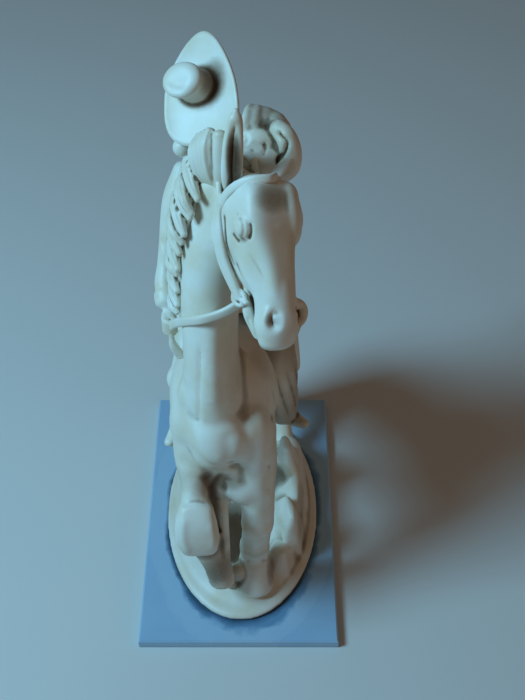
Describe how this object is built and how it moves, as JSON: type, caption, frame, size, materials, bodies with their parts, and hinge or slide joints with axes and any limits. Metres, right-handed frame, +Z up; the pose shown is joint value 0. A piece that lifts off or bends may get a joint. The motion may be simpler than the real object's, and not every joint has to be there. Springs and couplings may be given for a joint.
{
  "type": "equestrian statuette",
  "caption": "Cast statuette of a rider in a broad-brimmed hat on a rearing horse, on an oval rocky mound bedded on a thin polished rectangular slab.",
  "frame": {"origin": "centre of the slab's underside", "axes": "+Z up, -Y the way the horse faces, +X to the horse's left"},
  "size_m": [0.1, 0.16, 0.2793],
  "materials": {
    "figure": "ivory cast resin with grey-brown patina rubbed into the recesses",
    "plinth": "polished blue-grey slab"
  },
  "bodies": {
    "root": {"plinth": "plinth", "figure": "figure"}
  },
  "joints": []
}
